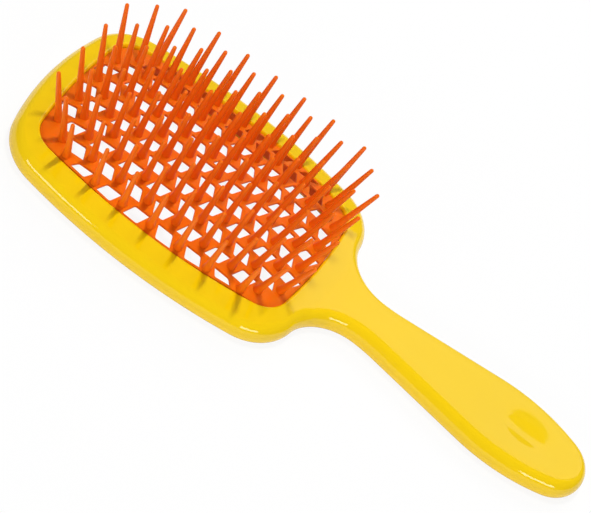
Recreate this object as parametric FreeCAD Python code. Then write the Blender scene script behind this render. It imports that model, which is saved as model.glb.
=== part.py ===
import FreeCAD, Part
import math
import os
from FreeCAD import Vector

# A detangling brush: a yellow frame with its handle, and an orange domed lattice pad with rows of pins.
# It lies on its back with the pins up. X runs from the head end to the handle end, Z is up.
# The origin is the middle of the footprint on the table. All sizes are in millimetres.

# Frame and handle, with places measured from the head end
overall_length = 210.0
frame_thickness = 8.0
edge_reach = 3.2
edge_steps = 10
head_half_width = 44.0
head_widest_from_end = 56.0
head_side_radius = 190.0
head_end_radius = 116.0
head_corner_radius = 19.6
shoulder_radius = 18.0
neck_from_end = 127.2
neck_half_width = 9.2
neck_radius = 17.0
grip_half_width = 15.8

# Shares of the handle's length, from the neck, and of the two radii its side would have with no straight part
grip_widest_share = 0.634
dimple_share = 0.711
waist_radius_share = 0.25
grip_radius_share = 0.294

# Thumb dimple
dimple_length = 17.0
dimple_width = 11.0
dimple_depth = 0.6

# Opening for the pad
pad_from_end = 56.7
opening_half_length = 47.6
flange_width = 9.8
opening_end_radius = 190.0
opening_side_radius = 165.0
opening_corner_radius = 10.0

# Collar that slopes up to the lip of the opening
lip_rise = 1.8
lip_chamfer = 0.7
lip_flat = 0.3
collar_width = 5.4
collar_sink = 0.2

# Groove in the opening and tongue on the pad
pad_clearance = 0.15
tongue_reach = 1.4
tongue_height = 1.6

# Domed pad
dome_rise = 4.6
dome_cross_radius = 110.0
dome_middle_radius = 500.0
dome_end_radius = 105.0
dome_middle_half = 20.0
dome_corner_lift = 3.6
dome_grid_count = 13
pad_thickness = 1.2
rim_width = 1.2

# Lattice openings and pins, in rows along X
row_pin_count = [7, 8, 9, 8, 9, 8, 9, 8, 9, 8, 7]
row_hole_count = [6, 7, 8, 9, 8, 9, 8, 9, 8, 7, 6]
row_margin = 3.2
pin_margin = 4.4
corner_pin_shift = 2.8
corner_pin_sink = 0.4
strut_along_row = 5.2
strut_across_row = 1.4
hole_slant = math.tan(math.radians(22.0))
pin_length = 20.7
pin_sides = 8
flare_radius = 1.6
flare_height = 3.0
pin_root_radius = 1.3
pin_tip_radius = 0.65

# Worked out from the sizes above
cut_margin = 5.0
head_end_x = -overall_length / 2.0
handle_length = overall_length - neck_from_end
neck_x = head_end_x + neck_from_end
grip_widest_x = neck_x + handle_length * grip_widest_share
dimple_x = neck_x + handle_length * dimple_share
pad_x = head_end_x + pad_from_end
opening_half_width = head_half_width - flange_width
tongue_bottom = frame_thickness / 2.0 - tongue_reach
lip_top = frame_thickness + lip_rise
dome_top = lip_top + dome_rise
middle_row = len(row_pin_count) // 2
row_pitch = (opening_half_width - row_margin) / middle_row
pin_pitch = (opening_half_length - pin_margin) / (max(row_pin_count) // 2)
hole_width = pin_pitch - strut_along_row
hole_depth = row_pitch - strut_across_row


def circle_meet(centre_a, radius_a, centre_b, radius_b):
    """The point at the given distances from two centres, on the left of the line between them."""
    across = centre_b - centre_a
    gap = across.Length
    along = (radius_a ** 2 - radius_b ** 2 + gap ** 2) / (2.0 * gap)
    off = math.sqrt(radius_a ** 2 - along ** 2)
    unit = across * (1.0 / gap)
    return centre_a + unit * along + Vector(-unit.y, unit.x, 0.0) * off


def toward(start, end, length):
    """The point at a length from start on the line to end."""
    step = end - start
    return start + step * (length / step.Length)


def arc(centre, first, last):
    """The short arc about a centre between two points."""
    middle = toward(centre, (first + last) * 0.5, (first - centre).Length)
    return Part.Arc(first, middle, last).toShape()


def mirrored(edges, normal):
    """The edges and their mirror images in a plane through the origin."""
    return edges + [edge.mirror(Vector(0.0, 0.0, 0.0), normal) for edge in edges]


def closed_wire(edges):
    return Part.Wire(Part.__sortEdges__(edges))


def frame_wire(inset, level):
    """Plan of the frame and handle, made of tangent arcs and lines, drawn in by an inset, at a level."""
    end_centre = Vector(head_end_x + head_end_radius, 0.0, 0.0)
    side_centre = Vector(head_end_x + head_widest_from_end, head_half_width - head_side_radius, 0.0)
    corner_centre = circle_meet(side_centre, head_side_radius - head_corner_radius,
                                end_centre, head_end_radius - head_corner_radius)
    neck_centre = Vector(neck_x, neck_half_width + neck_radius, 0.0)
    shoulder_centre = circle_meet(side_centre, head_side_radius - shoulder_radius,
                                  neck_centre, shoulder_radius + neck_radius)
    # the handle has a hollow waist arc, level at the neck, a straight taper and a round grip arc
    rise = grip_half_width - neck_half_width
    run = grip_widest_x - neck_x
    radius_sum = (run ** 2 + rise ** 2) / (2.0 * rise)
    waist_radius = radius_sum * waist_radius_share
    grip_radius = radius_sum * grip_radius_share
    waist_centre = Vector(neck_x, neck_half_width + waist_radius, 0.0)
    grip_centre = Vector(grip_widest_x, grip_half_width - grip_radius, 0.0)
    apart = grip_centre - waist_centre
    taper = math.atan2(apart.x, -apart.y) - math.acos((waist_radius + grip_radius) / apart.Length)
    square = Vector(math.sin(taper), -math.cos(taper), 0.0)
    # the round end is centred on the middle line and touches the grip arc
    reach = -head_end_x - grip_widest_x
    drop = grip_radius - grip_half_width
    round_radius = (grip_radius ** 2 - reach ** 2 - drop ** 2) / (2.0 * (grip_radius - reach))
    round_centre = Vector(-head_end_x - round_radius, 0.0, 0.0)

    head_end = Vector(head_end_x + inset, 0.0, 0.0)
    end_meet = toward(end_centre, corner_centre, head_end_radius - inset)
    side_meet = toward(side_centre, corner_centre, head_side_radius - inset)
    shoulder_meet = toward(side_centre, shoulder_centre, head_side_radius - inset)
    neck_meet = toward(shoulder_centre, neck_centre, shoulder_radius - inset)
    neck = Vector(neck_x, neck_half_width - inset, 0.0)
    waist_meet = waist_centre + square * (waist_radius + inset)
    grip_meet = grip_centre - square * (grip_radius - inset)
    round_meet = toward(grip_centre, round_centre, grip_radius - inset)
    tail = Vector(-head_end_x - inset, 0.0, 0.0)
    edges = [
        arc(end_centre, head_end, end_meet),
        arc(corner_centre, end_meet, side_meet),
        arc(side_centre, side_meet, shoulder_meet),
        arc(shoulder_centre, shoulder_meet, neck_meet),
        arc(neck_centre, neck_meet, neck),
        arc(waist_centre, neck, waist_meet),
        Part.makeLine(waist_meet, grip_meet),
        arc(grip_centre, grip_meet, round_meet),
        arc(round_centre, round_meet, tail),
    ]
    wire = closed_wire(mirrored(edges, Vector(0.0, 1.0, 0.0)))
    wire.translate(Vector(0.0, 0.0, level))
    return wire


def opening_wire(inset, level):
    """Plan of the opening, drawn in by an inset, at a level."""
    half_length = opening_half_length - inset
    half_width = opening_half_width - inset
    end_centre = Vector(opening_half_length - opening_end_radius, 0.0, 0.0)
    side_centre = Vector(0.0, opening_half_width - opening_side_radius, 0.0)
    corner_centre = circle_meet(end_centre, opening_end_radius - opening_corner_radius,
                                side_centre, opening_side_radius - opening_corner_radius)
    end_meet = toward(end_centre, corner_centre, opening_end_radius - inset)
    side_meet = toward(side_centre, corner_centre, opening_side_radius - inset)
    edges = [
        arc(end_centre, Vector(half_length, 0.0, 0.0), end_meet),
        arc(corner_centre, end_meet, side_meet),
        arc(side_centre, side_meet, Vector(0.0, half_width, 0.0)),
    ]
    edges = mirrored(mirrored(edges, Vector(0.0, 1.0, 0.0)), Vector(1.0, 0.0, 0.0))
    wire = closed_wire(edges)
    wire.translate(Vector(pad_x, 0.0, level))
    return wire


def prism(wire, height):
    return Part.Face(wire).extrude(Vector(0.0, 0.0, height))


def dome_drop(x):
    """How far the pad is below its top on its middle line, and its slope, at a place along that line."""
    side = math.copysign(1.0, x)
    far = abs(x)
    if far <= dome_middle_half:
        level = math.sqrt(dome_middle_radius ** 2 - far ** 2)
        return dome_middle_radius - level, side * far / level
    ratio = dome_middle_half / dome_middle_radius
    rise = math.sqrt(1.0 - ratio ** 2)
    centre_x = dome_middle_half - dome_end_radius * ratio
    centre_drop = dome_middle_radius - (dome_middle_radius - dome_end_radius) * rise
    level = math.sqrt(dome_end_radius ** 2 - (far - centre_x) ** 2)
    return centre_drop - level, side * (far - centre_x) / level


def dome_point(x, y):
    """Point on the dome above a place measured from the pad's middle, and the direction of a pin there."""
    drop, slope = dome_drop(x)
    radius = dome_cross_radius - drop
    level = math.sqrt(radius ** 2 - y ** 2)
    # lifted corners keep the border near one level, while the pins keep the lean of the plain dome
    lift = dome_corner_lift * (x / opening_half_length) ** 2 * (y / opening_half_width) ** 2
    point = Vector(pad_x + x, y, dome_top - dome_cross_radius + level + lift)
    lean = Vector(slope, y / radius, level / radius)
    lean.normalize()
    return point, lean


def under_dome(lowered):
    """A deep solid below the dome, lowered by a thickness."""
    reach_x = opening_half_length + cut_margin / 2.0
    reach_y = opening_half_width + cut_margin / 2.0
    shares = [2.0 * number / (dome_grid_count - 1) - 1.0 for number in range(dome_grid_count)]
    surface = Part.BSplineSurface()
    lines = [[dome_point(reach_x * along, reach_y * across)[0] for across in shares] for along in shares]
    surface.interpolate(lines)
    sheet = surface.toShape()
    sheet.translate(Vector(0.0, 0.0, -lowered))
    return sheet.extrude(Vector(0.0, 0.0, -dome_cross_radius / 2.0))


def row_places(count):
    """Places of a row's pins or openings along X, measured from the pad's middle."""
    return [(number - (count - 1) / 2.0) * pin_pitch for number in range(count)]


def hole_corners(row, x, last):
    """Corners of one opening of the lattice in plan, slanted by row and mirrored about the pad's middle."""
    y = row * row_pitch
    lean = hole_slant if (row % 2 == 1) == (row <= 0) else -hole_slant
    low = y - hole_depth / 2.0
    high = y + hole_depth / 2.0
    half = hole_width / 2.0

    def edge_point(offset, level):
        side = math.copysign(1.0, x if x else offset)
        return Vector(pad_x + x + offset - side * lean * (level - y), level, 0.0)

    if abs(row) == middle_row and last:
        # the end openings of the outermost rows are triangles that follow the corner of the rim
        inner = -math.copysign(half, x)
        return [edge_point(inner, low), edge_point(inner, high), Vector(pad_x + x - inner, y, 0.0)]
    return [edge_point(-half, low), edge_point(half, low), edge_point(half, high), edge_point(-half, high)]


def lattice_holes(inside):
    """Openings of the lattice, of which those in the outermost rows end at the inside of the rim."""
    prisms = []
    for index, count in enumerate(row_hole_count):
        row = index - middle_row
        places = row_places(count)
        for x in places:
            corners = hole_corners(row, x, x in (places[0], places[-1]))
            hole = prism(Part.makePolygon(corners + corners[:1]), dome_top + cut_margin)
            prisms.append(hole.common(inside) if abs(row) == middle_row else hole)
    return prisms


def thumb_dimple():
    """A spindle whose lowest part is sunk in the top of the handle."""
    half_width = dimple_width / 2.0
    half_length = dimple_length / 2.0
    turn_radius = (half_width ** 2 + dimple_depth ** 2) / (2.0 * dimple_depth)
    axis_level = frame_thickness - dimple_depth + turn_radius
    left = Vector(dimple_x - half_length, 0.0, frame_thickness)
    right = Vector(dimple_x + half_length, 0.0, frame_thickness)
    bottom = Vector(dimple_x, 0.0, frame_thickness - dimple_depth)
    axis_left = Vector(left.x, 0.0, axis_level)
    axis_right = Vector(right.x, 0.0, axis_level)
    edges = [
        Part.Arc(left, bottom, right).toShape(),
        Part.makeLine(right, axis_right),
        Part.makeLine(axis_right, axis_left),
        Part.makeLine(axis_left, left),
    ]
    return Part.Face(closed_wire(edges)).revolve(axis_left, Vector(1.0, 0.0, 0.0), 360.0)


def make_frame():
    """The frame with its handle: a plate with a rounded edge, and a collar, opening, groove and dimple."""
    half_height = frame_thickness / 2.0
    sections = []
    for step in range(edge_steps + 1):
        turn = math.pi * (step / edge_steps - 0.5)
        sections.append(frame_wire(edge_reach * (1.0 - math.cos(turn)), half_height * (1.0 + math.sin(turn))))
    foot = opening_wire(-collar_width, frame_thickness - collar_sink)
    collar = Part.makeLoft([foot, opening_wire(-lip_chamfer - lip_flat, lip_top)], True, True)
    body = Part.makeLoft(sections, True, True).fuse(collar)
    body = body.cut(prism(opening_wire(0.0, -cut_margin), lip_top + 2.0 * cut_margin))
    lip = [opening_wire(0.0, lip_top - lip_chamfer), opening_wire(-lip_chamfer, lip_top)]
    body = body.cut(Part.makeLoft(lip, True, True))
    groove = opening_wire(-tongue_reach - pad_clearance, tongue_bottom - pad_clearance)
    body = body.cut(prism(groove, tongue_height + 2.0 * pad_clearance))
    return body.cut(thumb_dimple())


def make_lattice():
    """The pad: a domed sheet with slanted openings, a rim wall under its border and a tongue round it."""
    height = dome_top + cut_margin
    inside = prism(opening_wire(rim_width, 0.0), height)
    body = prism(opening_wire(pad_clearance, tongue_bottom), height).common(under_dome(0.0))
    body = body.cut(inside.common(under_dome(pad_thickness)))
    tongue = prism(opening_wire(-tongue_reach, tongue_bottom), tongue_height).cut(inside)
    body = body.fuse(tongue).removeSplitter()
    return body.cut(lattice_holes(inside)).toNurbs()


def make_pin():
    """One upright pin with flat sides: a flared root, a tapered shaft and a small tip."""
    rings = []
    for radius, level in [(flare_radius, 0.0), (pin_root_radius, flare_height), (pin_tip_radius, pin_length)]:
        turns = [2.0 * math.pi * number / pin_sides for number in range(pin_sides)]
        rings.append([Vector(radius * math.cos(turn), radius * math.sin(turn), level) for turn in turns])
    outlines = [rings[0], rings[-1]]
    for lower, upper in zip(rings, rings[1:]):
        for side in range(pin_sides):
            outlines.append([lower[side - 1], lower[side], upper[side], upper[side - 1]])
    faces = [Part.Face(Part.makePolygon(corners + corners[:1])) for corners in outlines]
    return Part.Solid(Part.Shell(faces))


def make_pin_row(index):
    """One row of pins, each square to the dome."""
    pin = make_pin()
    row = index - middle_row
    places = row_places(row_pin_count[index])
    pins = []
    for x in places:
        root, axis = dome_point(x, row * row_pitch)
        corner = abs(row) == middle_row and x in (places[0], places[-1])
        if corner:
            # the corner pins stand further in, clear of the lip, and lean out to end in line with their row
            tip = root + axis * pin_length
            root = dome_point(x, row * row_pitch - math.copysign(corner_pin_shift, row))[0]
            axis = tip - root
            root = toward(root, tip, -corner_pin_sink)
        turn = FreeCAD.Rotation(Vector(0.0, 0.0, 1.0), axis)
        placed = pin.transformed(FreeCAD.Placement(root, turn).toMatrix(), True)
        pins.append(placed.cut(under_dome(0.0)) if corner else placed)
    return Part.makeCompound(pins)


os.makedirs("parts", exist_ok=True)
make_frame().exportStep("parts/handle_frame.step")
make_lattice().exportStep("parts/pad_lattice.step")
for row_index in range(len(row_pin_count)):
    make_pin_row(row_index).exportStep("parts/pin_row_%02d.step" % (row_index + 1))
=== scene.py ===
import math

import bmesh
import bpy
from mathutils import Matrix, Vector


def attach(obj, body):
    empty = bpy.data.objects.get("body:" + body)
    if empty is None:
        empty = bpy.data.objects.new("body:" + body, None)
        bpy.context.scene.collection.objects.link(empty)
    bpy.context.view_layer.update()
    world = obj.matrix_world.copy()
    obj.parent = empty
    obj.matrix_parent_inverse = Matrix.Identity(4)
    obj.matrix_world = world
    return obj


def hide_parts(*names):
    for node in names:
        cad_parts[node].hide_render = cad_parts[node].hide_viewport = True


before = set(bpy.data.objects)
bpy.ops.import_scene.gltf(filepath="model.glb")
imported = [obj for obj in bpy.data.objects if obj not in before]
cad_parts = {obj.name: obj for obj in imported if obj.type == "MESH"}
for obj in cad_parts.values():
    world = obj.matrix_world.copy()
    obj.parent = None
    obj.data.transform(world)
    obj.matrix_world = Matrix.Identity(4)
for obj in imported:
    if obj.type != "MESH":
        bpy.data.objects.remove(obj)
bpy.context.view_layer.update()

bl_info = {
    "name": "Detangling brush",
    "version": (1, 0, 0),
    "blender": (4, 5, 0),
    "location": "View3D > Sidebar > Brush",
    "description": "Models a detangling brush: a glossy frame with a handle, and a domed pad with pins",
    "category": "Object",
}

ALONG = Vector((1.0, 0.0, 0.0))
ACROSS = Vector((0.0, 1.0, 0.0))
UP = Vector((0.0, 0.0, 1.0))

# Tolerances in metres: points that are one point, and points that lie on a level
MERGE_DISTANCE = 1e-6
LEVEL_TOLERANCE = 1e-5

# Pins and openings in each row of the pad, from the near side to the far side
PIN_ROWS = (7, 8, 9, 8, 9, 8, 9, 8, 9, 8, 7)
HOLE_ROWS = (6, 7, 8, 9, 8, 9, 8, 9, 8, 7, 6)
MIDDLE_ROW = len(PIN_ROWS) // 2
# place of the corner pins in their row, in pitches from its middle
CORNER_PLACE = (PIN_ROWS[0] - 1) / 2.0

# Fineness of the plans: distance between points in metres, and the greatest turn between two in radians
FRAME_STEP = 0.0010
LIP_STEP = 0.0016
PAD_STEP = 0.0025
ARC_TURN = 0.07
ARC_LEAST_STEPS = 3

# Fineness of the frame: steps of its rounded edge and lip, rings round the opening and in the dimple
EDGE_STEPS = 14
LIP_STEPS = 6
LIP_RINGS = 10
DIMPLE_RINGS = 12
DIMPLE_SEGMENTS = 64
# level band inside the rounded edge, in metres
EDGE_BAND = 0.0003

# Slope round the lip and bowl of the dimple: powers that bend them
COLLAR_BEND = 1.1
DIMPLE_BEND = 1.25
# cuts through the top on the handle's side of the opening: their distance in metres and their numbers
COLLAR_CUT = 0.001
COLLAR_CUTS = range(-6, 10)
COLLAR_CROSS_CUT = 0.004
COLLAR_CROSS_CUTS = range(-8, 9)
# how far from the opening's end the cut faces lie, in metres
COLLAR_CUT_REACH = 0.012

# Fineness of the lattice: steps of its rounded corners and edges, and cuts by half pitches and rows
HOLE_CORNER_STEPS = 3
SOFT_EDGE_STEPS = 2
SOFT_EDGE_ANGLE = math.radians(50.0)
LATTICE_CUTS = range(-10, 11)
LATTICE_CROSS_CUTS = range(-6, 6)

# Pin: sides, angles of the round tip in degrees, and the flare's shape in shares of the pin's own sizes
PIN_SIDES = 12
TIP_ANGLES = (30.0, 60.0)
FLARE_FOOT = 0.93
FLARE_WAIST = 1.22
FLARE_WAIST_HEIGHT = 0.42

# Noise of the plastics: the values that are used, then scale and detail for tone, gloss and grain
NOISE_RANGE = (0.3, 0.7)
TONE_NOISE = (22.0, 3.0)
GLOSS_NOISE = (90.0, 4.0)
GRAIN_DETAIL = 2.0
# Finishes: shade of the darker patches, least and most roughness, grain with its depth in metres, and sockets
GLOSSY = {
    "shade": 0.97, "roughness": (0.05, 0.08),
    "grain_scale": 260.0, "grain_strength": 0.03, "grain_depth": 0.0003,
    "sockets": {"IOR": 1.49},
}
SATIN = {
    "shade": 0.94, "roughness": (0.36, 0.46),
    "grain_scale": 900.0, "grain_strength": 0.12, "grain_depth": 0.0002,
    "sockets": {"IOR": 1.48, "Specular IOR Level": 0.25, "Subsurface Weight": 0.3,
                "Subsurface Radius": (1.0, 0.35, 0.05), "Subsurface Scale": 0.002},
}

# Stage: half the floor's side in metres, its grey, and the share of its glow that is seen and mirrored
FLOOR_HALF = 6.0
FLOOR_GREY = 0.9
GLOW_SEEN = 0.9
GLOW_MIRRORED = 0.35
# strength of the even light from all round
AIR_STRENGTH = 0.14

# Lamps: name, place and size in metres, and power in watts
# a softbox behind, and strips at the front whose reflections run along the rounded edges
GLOSS_LAMPS = (
    ("back_softbox", (-0.03, 0.79, 0.63), (0.8, 0.3), 0.64),
    ("left_strip", (-0.526, -0.853, 0.372), (0.57, 0.24), 2.6),
    ("right_strip", (0.66, -0.71, 0.36), (0.57, 0.26), 3.1),
)
# a key above and soft fills, which light the brush without showing in the gloss
FILL_LAMPS = (
    ("top_key", (-0.08, 0.01, 1.0), (0.20, 0.02), 4.9),
    ("back_fill", (0.0, 0.85, 0.85), (1.0, 0.6), 6.0),
    ("low_fill", (0.0, -0.90, 0.05), (1.5, 0.08), 0.6),
)
# point that every lamp looks at, in metres
LAMP_AIM = Vector((-0.02, 0.0, 0.01))

# Camera: width of its sensor in millimetres, and nearest and farthest distance it sees in metres
SENSOR_WIDTH_MM = 36.0
CLIP_START = 0.05
CLIP_END = 50.0


def length_value(name, description, default):
    """A length in metres that a user can change."""
    return bpy.props.FloatProperty(name=name, description=description, default=default,
                                   unit="LENGTH", precision=5)


def colour_value(name, description, default):
    """A linear colour that a user can change."""
    return bpy.props.FloatVectorProperty(name=name, description=description, default=default,
                                         subtype="COLOR", size=3, min=0.0, max=1.0)


def angle_value(name, description, degrees):
    """An angle that a user can change."""
    return bpy.props.FloatProperty(name=name, description=description,
                                   default=math.radians(degrees), subtype="ANGLE")


class BrushFrameSizes(bpy.types.PropertyGroup):
    """Sizes of the frame and handle."""
    overall: length_value("Overall length", "From the head end to the handle end", 0.210)
    thickness: length_value("Thickness", "Thickness of the frame and handle", 0.008)
    edge_reach: length_value("Edge reach", "How far the rounding of the outer edge reaches inwards", 0.0032)
    half_width: length_value("Head half width", "Half the width of the head", 0.044)
    widest_x: length_value("Widest place", "Place of the head's greatest width", -0.049)
    side_radius: length_value("Head side radius", "Radius of the head's long sides", 0.190)
    end_radius: length_value("Head end radius", "Radius of the head's end", 0.116)
    corner_radius: length_value("Head corner radius", "Radius of the head's corners", 0.0196)
    shoulder_radius: length_value("Shoulder radius", "Radius of the shoulders by the handle", 0.018)
    neck_x: length_value("Neck place", "Place of the narrowest part of the handle", 0.0222)
    neck_half_width: length_value("Neck half width", "Half the width of the neck", 0.0092)
    neck_radius: length_value("Neck radius", "Radius between the shoulder and the neck", 0.017)
    grip_x: length_value("Grip place", "Place of the grip's greatest width", 0.0747)
    grip_half_width: length_value("Grip half width", "Half the width of the grip", 0.0158)
    waist_radius: length_value("Waist radius", "Radius of the handle's hollow waist", 0.053)
    grip_radius: length_value("Grip side radius", "Radius of the grip's sides", 0.0623)
    lip_radius: length_value("Lip radius", "Rounding of the opening's edge", 0.0010)
    lip_rise: length_value("Lip rise", "Height of the lip above the level top", 0.0018)
    collar_reach: length_value("Collar reach", "How far the slope round the lip reaches", 0.0068)
    ring_width: length_value("Ring width", "Width of the fine rings of faces round the opening", 0.0040)
    dimple_x: length_value("Dimple place", "Place of the thumb dimple", 0.0811)
    dimple_length: length_value("Dimple length", "Length of the thumb dimple", 0.0155)
    dimple_width: length_value("Dimple width", "Width of the thumb dimple", 0.0100)
    dimple_depth: length_value("Dimple depth", "Depth of the thumb dimple", 0.0006)


class BrushPadSizes(bpy.types.PropertyGroup):
    """Sizes of the opening, the domed lattice and its openings."""
    middle_x: length_value("Middle", "Place of the pad's middle", -0.0483)
    half_length: length_value("Half length", "Half the length of the opening", 0.0476)
    half_width: length_value("Half width", "Half the width of the opening", 0.0342)
    end_radius: length_value("End radius", "Radius of the opening's ends", 0.190)
    side_radius: length_value("Side radius", "Radius of the opening's sides", 0.165)
    corner_radius: length_value("Corner radius", "Radius of the opening's corners", 0.010)
    head_flare: bpy.props.FloatProperty(name="Head flare", default=0.05, subtype="FACTOR", min=0.0, max=0.1,
                                        description="Share by which the opening widens at the head end")
    clearance: length_value("Clearance", "Gap between the pad and the opening", 0.00004)
    dome_top: length_value("Dome top", "Height of the dome's top", 0.0144)
    cross_radius: length_value("Dome cross radius", "Radius of the dome across the head", 0.110)
    middle_radius: length_value("Dome middle radius", "Radius of the dome's middle along the head", 0.500)
    fall_radius: length_value("Dome end radius", "Radius of the dome's ends along the head", 0.105)
    middle_half: length_value("Dome middle half", "Half the length of the dome's middle", 0.020)
    corner_lift: length_value("Dome corner lift", "Lift of the dome at its corners", 0.0036)
    thickness: length_value("Thickness", "Thickness of the lattice", 0.0008)
    soft_edge: length_value("Soft edge", "Width of the rounding of the lattice's edges", 0.00035)
    rim_width: length_value("Rim width", "Width of the wall under the pad's border", 0.0007)
    rim_bottom: length_value("Rim bottom", "Height of the wall's lower edge", 0.0026)
    pitch: length_value("Pin pitch", "Distance between the pins of a row", 0.0108)
    row_pitch: length_value("Row pitch", "Distance between rows", 0.0062)
    hole_width: length_value("Opening width", "Width of a lattice opening along the row", 0.0056)
    hole_depth: length_value("Opening depth", "Width of a lattice opening across the row", 0.0048)
    hole_corner: length_value("Opening corner", "Rounding of a lattice opening's corners", 0.0005)
    hole_slant: angle_value("Opening slant", "Slant of the lattice openings' sides", 22.0)


class BrushPinSizes(bpy.types.PropertyGroup):
    """Sizes of the pins, and how those at the corners and the head end lean."""
    length: length_value("Length", "Length of a pin", 0.0207)
    root_radius: length_value("Root radius", "Radius of the shaft at the root", 0.00118)
    tip_radius: length_value("Tip radius", "Radius of the round tip", 0.00068)
    flare_radius: length_value("Flare radius", "Radius of the flared root", 0.0017)
    flare_height: length_value("Flare height", "Height of the flared root", 0.0028)
    sunk: length_value("Sunk", "How deep the root goes into the pad", 0.0006)
    corner_shift: length_value("Corner shift", "How far in from their row the corner pins stand", 0.0020)
    corner_spread: length_value("Corner spread", "How far out along their row the corner pins stand", 0.0012)
    head_lean: length_value("Head lean", "Lean of the head end's tips, by pitches past the corners", 0.0018)


class BrushFinish(bpy.types.PropertyGroup):
    """Colours of the two mouldings."""
    yellow: colour_value("Frame yellow", "Colour of the frame and handle", (0.915, 0.61, 0.002))
    orange: colour_value("Pad orange", "Colour of the pad and pins", (0.91, 0.168, 0.003))


class BrushStage(bpy.types.PropertyGroup):
    """View of the camera."""
    azimuth: angle_value("Azimuth", "Camera azimuth", 3.77)
    elevation: angle_value("Elevation", "Camera elevation", 43.05)
    roll: angle_value("Roll", "Turn of the picture", 35.07)
    distance: length_value("Distance", "From the camera to the point that it looks at", 1.255)
    lens: bpy.props.FloatProperty(name="Lens", description="Focal length in millimetres", default=243.4)
    aim_x: length_value("Aim along", "Place along the brush that the camera looks at", -0.00908)
    aim_y: length_value("Aim across", "Place across the brush that the camera looks at", 0.00915)
    aim_z: length_value("Aim height", "Height that the camera looks at", -0.001)


def circle_meet(first, first_radius, second, second_radius):
    """The point at the given distances from two centres, on the left of the line between them."""
    across = second - first
    gap = across.length
    along = (first_radius ** 2 - second_radius ** 2 + gap ** 2) / (2.0 * gap)
    off = math.sqrt(first_radius ** 2 - along ** 2)
    unit = across / gap
    return first + unit * along + Vector((-unit.y, unit.x, 0.0)) * off


def toward(start, end, length):
    """The point at a length from start on the line to end."""
    return start + (end - start).normalized() * length


def flat(x, y):
    """A point in the plan."""
    return Vector((x, y, 0.0))


def only(kind, items):
    """The items of one kind, such as the vertices among an operator's results."""
    return [item for item in items if isinstance(item, kind)]


def draw_arcs(bm, start, arcs, step):
    """Draws arcs from a start point, each given by its centre and last point, or lines with no centre."""
    vertex = bm.verts.new(start)
    for centre, last in arcs:
        angle = 0.0
        shift = Vector()
        if centre is None:
            along = last - vertex.co
            steps = math.ceil(along.length / step)
            shift = along / steps
        else:
            before = vertex.co - centre
            after = last - centre
            angle = math.atan2(before.cross(after).z, before.dot(after))
            steps = max(ARC_LEAST_STEPS, math.ceil(abs(angle) * before.length / step),
                        math.ceil(abs(angle) / ARC_TURN))
        spun = bmesh.ops.spin(bm, geom=[vertex], cent=centre or Vector(), axis=UP, dvec=shift, angle=angle,
                              steps=steps, use_merge=False, use_duplicate=False)
        vertex = only(bmesh.types.BMVert, spun["geom_last"])[0]


def frame_arcs(sizes):
    """Centres and last points of the tangent arcs of half the frame's plan, and of its straight part."""
    half = sizes.overall / 2.0
    end_centre = flat(sizes.end_radius - half, 0.0)
    side_centre = flat(sizes.widest_x, sizes.half_width - sizes.side_radius)
    corner = circle_meet(side_centre, sizes.side_radius - sizes.corner_radius,
                         end_centre, sizes.end_radius - sizes.corner_radius)
    neck = flat(sizes.neck_x, sizes.neck_half_width)
    neck_centre = neck + flat(0.0, sizes.neck_radius)
    shoulder = circle_meet(side_centre, sizes.side_radius - sizes.shoulder_radius,
                           neck_centre, sizes.shoulder_radius + sizes.neck_radius)
    waist_centre = neck + flat(0.0, sizes.waist_radius)
    grip_centre = flat(sizes.grip_x, sizes.grip_half_width - sizes.grip_radius)
    apart = grip_centre - waist_centre
    taper = math.atan2(apart.x, -apart.y) - math.acos((sizes.waist_radius + sizes.grip_radius) / apart.length)
    square = flat(math.sin(taper), -math.cos(taper))
    reach = half - sizes.grip_x
    drop = sizes.grip_radius - sizes.grip_half_width
    round_end = (reach ** 2 + drop ** 2 - sizes.grip_radius ** 2) / (2.0 * (reach - sizes.grip_radius))
    round_centre = flat(half - round_end, 0.0)
    return [
        (end_centre, toward(end_centre, corner, sizes.end_radius)),
        (corner, toward(side_centre, corner, sizes.side_radius)),
        (side_centre, toward(side_centre, shoulder, sizes.side_radius)),
        (shoulder, toward(shoulder, neck_centre, sizes.shoulder_radius)),
        (neck_centre, neck),
        (waist_centre, waist_centre + square * sizes.waist_radius),
        (None, grip_centre - square * sizes.grip_radius),
        (grip_centre, toward(grip_centre, round_centre, sizes.grip_radius)),
        (round_centre, flat(half, 0.0)),
    ]


def opening_arcs(pad, inset):
    """Start and arcs of a quarter of the opening's plan, drawn in by an inset and centred on the origin."""
    half_length = pad.half_length - inset
    half_width = pad.half_width - inset
    end_radius = pad.end_radius - inset
    side_radius = pad.side_radius - inset
    corner_radius = pad.corner_radius - inset
    end_centre = flat(half_length - end_radius, 0.0)
    side_centre = flat(0.0, half_width - side_radius)
    corner = circle_meet(end_centre, end_radius - corner_radius, side_centre, side_radius - corner_radius)
    arcs = [
        (end_centre, toward(end_centre, corner, end_radius)),
        (corner, toward(side_centre, corner, side_radius)),
        (side_centre, flat(0.0, half_width)),
    ]
    return flat(half_length, 0.0), arcs


def widening(pad, x):
    """Factor by which the opening is wider at a place along it, more towards the head end."""
    return 1.0 + pad.head_flare * (min(0.0, x) / pad.half_length) ** 2


def opening_distance(pad, x, y):
    """How far a place measured from the pad's middle lies outside the opening's plan."""
    place = flat(abs(x), abs(y) / widening(pad, x))
    (end_centre, end_meet), (corner, side_meet), (side_centre, _) = opening_arcs(pad, 0.0)[1]
    if (end_meet - end_centre).cross(place - end_centre).z < 0.0:
        return (place - end_centre).length - pad.end_radius
    if (side_meet - side_centre).cross(place - side_centre).z > 0.0:
        return (place - side_centre).length - pad.side_radius
    return (place - corner).length - pad.corner_radius


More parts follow.
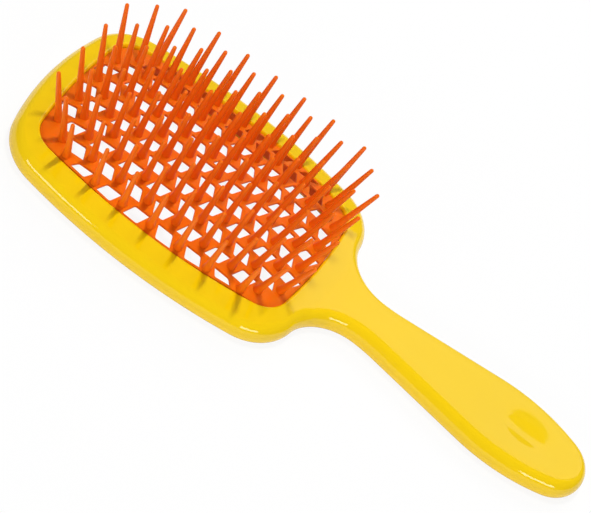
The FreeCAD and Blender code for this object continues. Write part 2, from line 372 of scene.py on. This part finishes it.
def mirror_plan(bm, axis):
    """Mirrors a plan or a half shell in a plane through the origin and joins the halves."""
    geom = bm.verts[:] + bm.edges[:] + bm.faces[:]
    bmesh.ops.mirror(bm, geom=geom, matrix=Matrix.Identity(4), merge_dist=MERGE_DISTANCE, axis=axis)
    bmesh.ops.remove_doubles(bm, verts=bm.verts[:], dist=MERGE_DISTANCE)


def opening_plan(pad, inset, height, step):
    """A bmesh with the closed plan of the opening at a height."""
    bm = bmesh.new()
    start, arcs = opening_arcs(pad, inset)
    draw_arcs(bm, start, arcs, step)
    mirror_plan(bm, "X")
    mirror_plan(bm, "Y")
    for vertex in bm.verts:
        vertex.co.y *= widening(pad, vertex.co.x)
    bmesh.ops.translate(bm, verts=bm.verts[:], vec=Vector((pad.middle_x, 0.0, height)))
    return bm


def frame_plan(sizes):
    """A bmesh with the closed plan of the frame and handle."""
    bm = bmesh.new()
    draw_arcs(bm, flat(-sizes.overall / 2.0, 0.0), frame_arcs(sizes), FRAME_STEP)
    mirror_plan(bm, "Y")
    return bm


def add_plan(bm, plan):
    """Adds a plan to a bmesh and returns the new edges."""
    mesh = bpy.data.meshes.new("plan")
    plan.to_mesh(mesh)
    plan.free()
    known = len(bm.edges)
    bm.from_mesh(mesh)
    bpy.data.meshes.remove(mesh)
    bm.edges.ensure_lookup_table()
    return bm.edges[known:]


def look_up(face):
    """Turns a face so that it looks up."""
    face.normal_update()
    if face.normal.z < 0.0:
        face.normal_flip()


def face_up(bm, edges):
    """Fills a closed loop with one face that looks up."""
    face = bmesh.ops.contextual_create(bm, geom=edges)["faces"][0]
    look_up(face)
    return face


def inset_steps(bm, face, steps):
    """Insets a face along a profile given as steps inwards and upwards."""
    for inward, upward in steps:
        bmesh.ops.inset_region(bm, faces=[face], thickness=inward, depth=upward,
                               use_boundary=True, use_even_offset=True)


def profile_steps(reach, height, count):
    """Steps of a quarter of an ellipse that starts upright and ends level."""
    steps = []
    for number in range(count):
        first = math.pi / 2.0 * number / count
        last = math.pi / 2.0 * (number + 1) / count
        inward = reach * (math.cos(first) - math.cos(last))
        upward = height * (math.sin(last) - math.sin(first))
        steps.append((inward, upward))
    return steps


def level_edges(bm, height):
    """Open edges of a bmesh at a height."""
    loose = [edge for edge in bm.edges if edge.is_boundary or edge.is_wire]
    return [edge for edge in loose
            if all(abs(vertex.co.z - height) < LEVEL_TOLERANCE for vertex in edge.verts)]


def finish_mesh(bm, name, material, nodes):
    """Makes the object of a finished bmesh, which rides on the brush and stands for its solids."""
    bmesh.ops.remove_doubles(bm, verts=bm.verts[:], dist=MERGE_DISTANCE)
    bmesh.ops.recalc_face_normals(bm, faces=bm.faces[:])
    for face in bm.faces:
        face.smooth = True
    mesh = bpy.data.meshes.new(name)
    bm.to_mesh(mesh)
    bm.free()
    piece = bpy.data.objects.new(name, mesh)
    bpy.context.collection.objects.link(piece)
    mesh.materials.append(material)
    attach(piece, "root")
    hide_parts(*nodes)
    return piece


def dome_drop(pad, x):
    """How far the dome's middle line lies below its top, and its slope, at a distance from the middle."""
    side = math.copysign(1.0, x)
    far = abs(x)
    if far <= pad.middle_half:
        level = math.sqrt(pad.middle_radius ** 2 - far ** 2)
        return pad.middle_radius - level, side * far / level
    ratio = pad.middle_half / pad.middle_radius
    rise = math.sqrt(1.0 - ratio ** 2)
    centre_x = pad.middle_half - pad.fall_radius * ratio
    centre_drop = pad.middle_radius - (pad.middle_radius - pad.fall_radius) * rise
    level = math.sqrt(pad.fall_radius ** 2 - (far - centre_x) ** 2)
    return centre_drop - level, side * (far - centre_x) / level


def dome_place(pad, x, y):
    """Point on the dome above a place measured from the pad's middle, and the direction of a pin there."""
    drop, slope = dome_drop(pad, x)
    radius = pad.cross_radius - drop
    level = math.sqrt(radius ** 2 - y ** 2)
    lift = pad.corner_lift * (x / pad.half_length) ** 2 * (y / pad.half_width) ** 2
    point = Vector((pad.middle_x + x, y, pad.dome_top - pad.cross_radius + level + lift))
    return point, Vector((slope, y / radius, level / radius)).normalized()


def row_places(count):
    """Places of a row's pins or openings, in pitches from the middle."""
    return [number - (count - 1) / 2.0 for number in range(count)]


def hole_corners(pad, row, place):
    """Corners of one opening of the lattice in plan, slanted by row and mirrored about the pad's middle."""
    x = place * pad.pitch
    y = row * pad.row_pitch
    # the slant changes sides from row to row, mirrored about the middle row
    lean = math.tan(pad.hole_slant) * (1.0 if (row % 2 == 1) == (row <= 0) else -1.0)
    low = y - pad.hole_depth / 2.0
    high = y + pad.hole_depth / 2.0
    half = pad.hole_width / 2.0
    rim_radius = pad.side_radius - pad.rim_width

    def corner(offset, level):
        side = math.copysign(1.0, x if x else offset)
        corner_x = x + offset - side * lean * (level - y)
        # the openings of the outermost rows end at the inside of the rim
        limit = pad.half_width - pad.rim_width - rim_radius + math.sqrt(rim_radius ** 2 - corner_x ** 2)
        limit *= widening(pad, corner_x)
        return corner_x, max(-limit, min(limit, level))

    return [corner(-half, low), corner(half, low), corner(half, high), corner(-half, high)]


def noise_node(nodes, links, coordinates, scale, detail):
    """A noise texture on Object coordinates."""
    noise = nodes.new("ShaderNodeTexNoise")
    noise.inputs["Scale"].default_value = scale
    noise.inputs["Detail"].default_value = detail
    links.new(coordinates.outputs["Object"], noise.inputs["Vector"])
    return noise


def range_node(nodes, links, source, low, high):
    """Maps a noise to a range."""
    node = nodes.new("ShaderNodeMapRange")
    node.inputs["From Min"].default_value = NOISE_RANGE[0]
    node.inputs["From Max"].default_value = NOISE_RANGE[1]
    node.inputs["To Min"].default_value = low
    node.inputs["To Max"].default_value = high
    links.new(source.outputs["Fac"], node.inputs["Value"])
    return node


def moulded_plastic(name, colour, finish):
    """A moulded plastic with a faint variation of tone and gloss and a fine grain, made once."""
    material = bpy.data.materials.get(name)
    if material is not None:
        return material
    material = bpy.data.materials.new(name)
    material.use_nodes = True
    nodes = material.node_tree.nodes
    links = material.node_tree.links
    nodes.clear()
    output = nodes.new("ShaderNodeOutputMaterial")
    shader = nodes.new("ShaderNodeBsdfPrincipled")
    coordinates = nodes.new("ShaderNodeTexCoord")
    links.new(shader.outputs["BSDF"], output.inputs["Surface"])
    tone = noise_node(nodes, links, coordinates, *TONE_NOISE)
    blend = nodes.new("ShaderNodeMix")
    blend.data_type = "RGBA"
    # inputs 6 and 7 and output 2 of this node carry its colours, and input 0 its share
    blend.inputs[6].default_value = (*colour, 1.0)
    blend.inputs[7].default_value = (*[channel * finish["shade"] for channel in colour], 1.0)
    links.new(range_node(nodes, links, tone, 0.0, 1.0).outputs["Result"], blend.inputs[0])
    links.new(blend.outputs[2], shader.inputs["Base Color"])
    gloss = noise_node(nodes, links, coordinates, *GLOSS_NOISE)
    links.new(range_node(nodes, links, gloss, *finish["roughness"]).outputs["Result"],
              shader.inputs["Roughness"])
    grain = noise_node(nodes, links, coordinates, finish["grain_scale"], GRAIN_DETAIL)
    bump = nodes.new("ShaderNodeBump")
    bump.inputs["Strength"].default_value = finish["grain_strength"]
    bump.inputs["Distance"].default_value = finish["grain_depth"]
    links.new(grain.outputs["Fac"], bump.inputs["Height"])
    links.new(bump.outputs["Normal"], shader.inputs["Normal"])
    for socket, value in finish["sockets"].items():
        shader.inputs[socket].default_value = value
    return material


def frame_finish(look):
    """Glossy yellow plastic of the frame and handle."""
    return moulded_plastic("frame_gloss_yellow", look.yellow, GLOSSY)


def pad_finish(look):
    """Satin orange plastic of the pad and pins."""
    return moulded_plastic("pad_satin_orange", look.orange, SATIN)


class BRUSH_OT_frame(bpy.types.Operator):
    """Models the frame with its handle"""
    bl_idname = "brush.frame"
    bl_label = "Frame and handle"

    def execute(self, context):
        sizes = context.scene.brush_frame
        pad = context.scene.brush_pad
        rise = sizes.thickness / 2.0
        bm = bmesh.new()
        # rounded outer edge, from the middle plane up to the level top
        top = face_up(bm, add_plan(bm, frame_plan(sizes)))
        inset_steps(bm, top, profile_steps(sizes.edge_reach, rise, EDGE_STEPS) + [(EDGE_BAND, 0.0)])
        bmesh.ops.delete(bm, geom=[top], context="FACES_ONLY")
        # fine rings round the opening, its rounded lip and its wall, from the top down to the middle plane
        lip = face_up(bm, add_plan(bm, opening_plan(pad, -sizes.ring_width, rise, LIP_STEP)))
        inset_steps(bm, lip, [((sizes.ring_width - sizes.lip_radius) / LIP_RINGS, 0.0)] * LIP_RINGS)
        inset_steps(bm, lip, [(upward, -inward) for inward, upward in
                              profile_steps(sizes.lip_radius, sizes.lip_radius, LIP_STEPS)])
        lip_edges = lip.edges[:]
        bmesh.ops.delete(bm, geom=[lip], context="FACES_ONLY")
        wall = bmesh.ops.extrude_edge_only(bm, edges=lip_edges)["geom"]
        bmesh.ops.translate(bm, verts=only(bmesh.types.BMVert, wall), vec=UP * (sizes.lip_radius - rise))
        mirror_plan(bm, "Z")
        self.sink_dimple(bm, sizes, rise)
        for height in (rise, -rise):
            bmesh.ops.triangle_fill(bm, use_beauty=True, use_dissolve=False,
                                    edges=level_edges(bm, height), normal=UP)
        self.raise_collar(bm, sizes, pad, rise)
        bmesh.ops.translate(bm, verts=bm.verts[:], vec=UP * rise)
        finish_mesh(bm, "frame_with_handle", frame_finish(context.scene.brush_finish),
                    ["handle_frame"])
        return {"FINISHED"}

    def raise_collar(self, bm, sizes, pad, rise):
        """Raises the top towards the opening, most at its lip, and what lies under it in proportion."""
        handle_side = pad.middle_x + pad.half_length
        cuts = [(ALONG, flat(handle_side + COLLAR_CUT * number, 0.0)) for number in COLLAR_CUTS]
        cuts += [(ACROSS, flat(0.0, COLLAR_CROSS_CUT * number)) for number in COLLAR_CROSS_CUTS]
        # finer faces on the handle's side, where the slope ends on the wide top
        for normal, place in cuts:
            faces = [face for face in bm.faces
                     if abs(face.calc_center_median().x - handle_side) < COLLAR_CUT_REACH
                     and all(vertex.co.z > rise - LEVEL_TOLERANCE for vertex in face.verts)]
            geom = list(dict.fromkeys(item for face in faces for item in (face, *face.edges, *face.verts)))
            bmesh.ops.bisect_plane(bm, geom=geom, dist=MERGE_DISTANCE, plane_no=normal, plane_co=place)
        for vertex in bm.verts:
            away = opening_distance(pad, vertex.co.x - pad.middle_x, vertex.co.y) - sizes.lip_radius
            share = 1.0 - max(0.0, away) / sizes.collar_reach
            if vertex.co.z > 0.0 and share > 0.0:
                vertex.co.z *= 1.0 + sizes.lip_rise * share ** COLLAR_BEND / rise

    def sink_dimple(self, bm, sizes, rise):
        """Adds an oval bowl with soft edges, whose open border lies in the level top."""
        middle = Vector((sizes.dimple_x, 0.0, rise))
        verts = bmesh.ops.create_circle(bm, cap_ends=False, segments=DIMPLE_SEGMENTS, radius=0.5)["verts"]
        edges = list(dict.fromkeys(edge for vertex in verts for edge in vertex.link_edges))
        bmesh.ops.scale(bm, verts=verts, vec=Vector((sizes.dimple_length, sizes.dimple_width, 1.0)))
        bmesh.ops.translate(bm, verts=verts, vec=middle)
        reach = 1.0
        for ring in range(1, DIMPLE_RINGS + 1):
            made = bmesh.ops.extrude_edge_only(bm, edges=edges)["geom"]
            verts = only(bmesh.types.BMVert, made)
            edges = only(bmesh.types.BMEdge, made)
            share = 1.0 - ring / (DIMPLE_RINGS + 1)
            bmesh.ops.scale(bm, verts=verts, vec=Vector((share / reach, share / reach, 1.0)),
                            space=Matrix.Translation(-middle))
            reach = share
            level = rise - sizes.dimple_depth * (1.0 - share ** 2) ** DIMPLE_BEND
            for vertex in verts:
                vertex.co.z = level
        bmesh.ops.contextual_create(bm, geom=edges)


class BRUSH_OT_lattice(bpy.types.Operator):
    """Models the domed lattice of the pad with its rim"""
    bl_idname = "brush.lattice"
    bl_label = "Pad lattice"

    def execute(self, context):
        pad = context.scene.brush_pad
        bm = bmesh.new()
        add_plan(bm, opening_plan(pad, pad.clearance, 0.0, PAD_STEP))
        for index, count in enumerate(HOLE_ROWS):
            for place in row_places(count):
                corners = hole_corners(pad, index - MIDDLE_ROW, place)
                verts = [bm.verts.new((pad.middle_x + x, y, 0.0)) for x, y in corners]
                for number, vertex in enumerate(verts):
                    bm.edges.new((vertex, verts[number - 1]))
                bmesh.ops.bevel(bm, geom=verts, offset=pad.hole_corner, offset_type="OFFSET",
                                segments=HOLE_CORNER_STEPS, profile=0.5, affect="VERTICES", material=-1)
        bmesh.ops.triangle_fill(bm, use_beauty=True, use_dissolve=False, edges=bm.edges[:], normal=UP)
        # the sheet is cut along and across, so that it can follow the dome
        cuts = [(ALONG, flat(pad.middle_x + number * pad.pitch / 2.0, 0.0)) for number in LATTICE_CUTS]
        cuts += [(ACROSS, flat(0.0, (number + 0.5) * pad.row_pitch)) for number in LATTICE_CROSS_CUTS]
        for normal, place in cuts:
            geom = bm.verts[:] + bm.edges[:] + bm.faces[:]
            bmesh.ops.bisect_plane(bm, geom=geom, dist=MERGE_DISTANCE, plane_no=normal, plane_co=place)
        for face in bm.faces:
            look_up(face)
        lower = bmesh.ops.extrude_face_region(bm, geom=bm.faces[:], use_keep_orig=True)["geom"]
        lower_verts = set(only(bmesh.types.BMVert, lower))
        for vertex in bm.verts:
            level = dome_place(pad, vertex.co.x - pad.middle_x, vertex.co.y)[0].z
            vertex.co.z = level - (pad.thickness if vertex in lower_verts else 0.0)
        # wall under the border, which carries the pad in the frame
        outer = add_plan(bm, opening_plan(pad, pad.clearance * 2.0, pad.rim_bottom, PAD_STEP))
        inner = add_plan(bm, opening_plan(pad, pad.rim_width, pad.rim_bottom, PAD_STEP))
        ring = bmesh.ops.bridge_loops(bm, edges=list(outer) + list(inner))["faces"]
        raised = bmesh.ops.extrude_face_region(bm, geom=ring, use_keep_orig=True)["geom"]
        for vertex in only(bmesh.types.BMVert, raised):
            level = dome_place(pad, vertex.co.x - pad.middle_x, vertex.co.y)[0].z
            vertex.co.z = level - pad.thickness / 2.0
        piece = finish_mesh(bm, "pad_lattice_skin", pad_finish(context.scene.brush_finish),
                            ["pad_lattice"])
        soften = piece.modifiers.new("soft_edges", "BEVEL")
        soften.width = pad.soft_edge
        soften.segments = SOFT_EDGE_STEPS
        soften.limit_method = "ANGLE"
        soften.angle_limit = SOFT_EDGE_ANGLE
        return {"FINISHED"}


class BRUSH_OT_pins(bpy.types.Operator):
    """Models the rows of pins"""
    bl_idname = "brush.pins"
    bl_label = "Pins"

    def execute(self, context):
        pad = context.scene.brush_pad
        pin = context.scene.brush_pins
        template = self.pin_mesh(pin)
        for index, count in enumerate(PIN_ROWS):
            bm = bmesh.new()
            for place in row_places(count):
                known = len(bm.verts)
                bm.from_mesh(template)
                bm.verts.ensure_lookup_table()
                root, axis = self.pin_line(pad, pin, index - MIDDLE_ROW, place)
                turn = UP.rotation_difference(axis).to_matrix().to_4x4()
                bmesh.ops.transform(bm, matrix=Matrix.Translation(root) @ turn, verts=bm.verts[known:])
            name = "pin_row_%02d" % (index + 1)
            finish_mesh(bm, name + "_skin", pad_finish(context.scene.brush_finish), [name])
        bpy.data.meshes.remove(template)
        return {"FINISHED"}

    def pin_line(self, pad, pin, row, place):
        """Root and direction of a pin, square to the dome but at the head end and the corners."""
        x = place * pad.pitch
        y = row * pad.row_pitch
        root, axis = dome_place(pad, x, y)
        tip = root + axis * pin.length
        tip.x -= pin.head_lean * max(0.0, -place - CORNER_PLACE)
        if abs(row) == MIDDLE_ROW and abs(place) == CORNER_PLACE:
            root = dome_place(pad, x + math.copysign(pin.corner_spread, x),
                              y - math.copysign(pin.corner_shift, y))[0]
        return root, tip - root

    def pin_mesh(self, pin):
        """One pin on the origin: a flared root, a tapered shaft and a round tip, spun from its profile."""
        bm = bmesh.new()
        tip_level = pin.length - pin.tip_radius
        shaft = [
            (pin.flare_radius, -pin.sunk),
            (pin.flare_radius * FLARE_FOOT, 0.0),
            (pin.root_radius * FLARE_WAIST, pin.flare_height * FLARE_WAIST_HEIGHT),
            (pin.root_radius, pin.flare_height),
            (pin.tip_radius, tip_level),
        ]
        for angle in TIP_ANGLES:
            turn = math.radians(angle)
            shaft.append((pin.tip_radius * math.cos(turn), tip_level + pin.tip_radius * math.sin(turn)))
        shaft.append((0.0, pin.length))
        verts = [bm.verts.new((radius, 0.0, level)) for radius, level in shaft]
        edges = [bm.edges.new((first, second)) for first, second in zip(verts, verts[1:])]
        bmesh.ops.spin(bm, geom=verts + edges, cent=Vector(), axis=UP, dvec=Vector(), angle=2.0 * math.pi,
                       steps=PIN_SIDES, use_merge=True, use_duplicate=False)
        bmesh.ops.remove_doubles(bm, verts=bm.verts[:], dist=MERGE_DISTANCE)
        rim = [edge for edge in bm.edges if edge.is_boundary]
        bmesh.ops.contextual_create(bm, geom=rim)
        bmesh.ops.recalc_face_normals(bm, faces=bm.faces[:])
        mesh = bpy.data.meshes.new("pin_template")
        bm.to_mesh(mesh)
        bm.free()
        return mesh


class BRUSH_OT_stage(bpy.types.Operator):
    """Sets the floor, the lights and the camera"""
    bl_idname = "brush.stage"
    bl_label = "Stage"

    def execute(self, context):
        self.make_floor(context)
        self.make_world(context)
        for lamp in GLOSS_LAMPS:
            self.make_lamp(context, *lamp)
        for lamp in FILL_LAMPS:
            self.make_lamp(context, *lamp).visible_glossy = False
        self.make_camera(context, context.scene.brush_stage)
        context.scene.view_settings.view_transform = "Standard"
        return {"FINISHED"}

    def make_floor(self, context):
        """A white floor that keeps the brush's shadow and looks white in the picture."""
        bm = bmesh.new()
        bmesh.ops.create_grid(bm, x_segments=1, y_segments=1, size=FLOOR_HALF)
        mesh = bpy.data.meshes.new("floor")
        bm.to_mesh(mesh)
        bm.free()
        floor = bpy.data.objects.new("floor", mesh)
        context.collection.objects.link(floor)
        material = bpy.data.materials.new("floor_white")
        material.use_nodes = True
        nodes = material.node_tree.nodes
        links = material.node_tree.links
        nodes.clear()

        def math_node(operation, *values):
            """Result of a sum on links and numbers."""
            node = nodes.new("ShaderNodeMath")
            node.operation = operation
            for socket, value in zip(node.inputs, values):
                if isinstance(value, float):
                    socket.default_value = value
                else:
                    links.new(value, socket)
            return node.outputs["Value"]

        output = nodes.new("ShaderNodeOutputMaterial")
        mix = nodes.new("ShaderNodeMixShader")
        paper = nodes.new("ShaderNodeBsdfDiffuse")
        paper.inputs["Color"].default_value = (FLOOR_GREY, FLOOR_GREY, FLOOR_GREY, 1.0)
        glow = nodes.new("ShaderNodeEmission")
        glow.inputs["Strength"].default_value = 1.0
        rays = nodes.new("ShaderNodeLightPath").outputs
        direct = math_node("MAXIMUM", rays["Is Camera Ray"], rays["Is Transmission Ray"])
        seen = math_node("MULTIPLY", direct, GLOW_SEEN)
        share = math_node("MULTIPLY_ADD", rays["Is Glossy Ray"], GLOW_MIRRORED, seen)
        links.new(share, mix.inputs["Fac"])
        links.new(paper.outputs["BSDF"], mix.inputs[1])
        links.new(glow.outputs["Emission"], mix.inputs[2])
        links.new(mix.outputs["Shader"], output.inputs["Surface"])
        mesh.materials.append(material)

    def make_world(self, context):
        """Even white light from all round."""
        world = bpy.data.worlds.new("studio_air")
        world.use_nodes = True
        back = world.node_tree.nodes["Background"]
        back.inputs["Color"].default_value = (1.0, 1.0, 1.0, 1.0)
        back.inputs["Strength"].default_value = AIR_STRENGTH
        context.scene.world = world

    def make_lamp(self, context, name, place, size, power):
        """A flat lamp that looks at the brush."""
        data = bpy.data.lights.new(name, "AREA")
        data.shape = "RECTANGLE"
        data.size, data.size_y = size
        data.energy = power
        lamp = bpy.data.objects.new(name, data)
        lamp.location = place
        aim = LAMP_AIM - Vector(place)
        lamp.rotation_euler = aim.to_track_quat("-Z", "Y").to_euler()
        context.collection.objects.link(lamp)
        return lamp

    def make_camera(self, context, stage):
        """The camera, turned round its own axis by the roll."""
        data = bpy.data.cameras.new("camera")
        data.sensor_width = SENSOR_WIDTH_MM
        data.lens = stage.lens
        data.clip_start = CLIP_START
        data.clip_end = CLIP_END
        camera = bpy.data.objects.new("camera", data)
        context.collection.objects.link(camera)
        level = math.cos(stage.elevation)
        back = Vector((math.sin(stage.azimuth) * level, -math.cos(stage.azimuth) * level,
                       math.sin(stage.elevation)))
        right = Vector((math.cos(stage.azimuth), math.sin(stage.azimuth), 0.0))
        top = back.cross(right)
        turned = right * math.cos(stage.roll) + top * math.sin(stage.roll)
        top = top * math.cos(stage.roll) - right * math.sin(stage.roll)
        place = Vector((stage.aim_x, stage.aim_y, stage.aim_z)) + back * stage.distance
        matrix = Matrix((turned, top, back)).transposed().to_4x4()
        matrix.translation = place
        camera.matrix_world = matrix
        context.scene.camera = camera


class BRUSH_PT_panel(bpy.types.Panel):
    """Lists the steps that make the brush"""
    bl_idname = "BRUSH_PT_panel"
    bl_label = "Detangling brush"
    bl_space_type = "VIEW_3D"
    bl_region_type = "UI"
    bl_category = "Brush"

    def draw(self, context):
        for operator in OPERATORS:
            self.layout.operator(operator.bl_idname)
        for group in GROUPS:
            values = getattr(context.scene, group)
            box = self.layout.box()
            for name in values.__annotations__:
                box.prop(values, name)


GROUPS = {"brush_frame": BrushFrameSizes, "brush_pad": BrushPadSizes, "brush_pins": BrushPinSizes,
          "brush_finish": BrushFinish, "brush_stage": BrushStage}
OPERATORS = (BRUSH_OT_frame, BRUSH_OT_lattice, BRUSH_OT_pins, BRUSH_OT_stage)
CLASSES = (*GROUPS.values(), *OPERATORS, BRUSH_PT_panel)


def register():
    """Registers the classes and gives each scene the groups of values."""
    for item in CLASSES:
        bpy.utils.register_class(item)
    for name, group in GROUPS.items():
        setattr(bpy.types.Scene, name, bpy.props.PointerProperty(type=group))


def unregister():
    """Undoes what register does, in reverse."""
    for name in GROUPS:
        delattr(bpy.types.Scene, name)
    for item in reversed(CLASSES):
        bpy.utils.unregister_class(item)


def main():
    """Makes the brush and its stage."""
    register()
    bpy.ops.brush.frame()
    bpy.ops.brush.lattice()
    bpy.ops.brush.pins()
    bpy.ops.brush.stage()


if __name__ == "__main__":
    main()
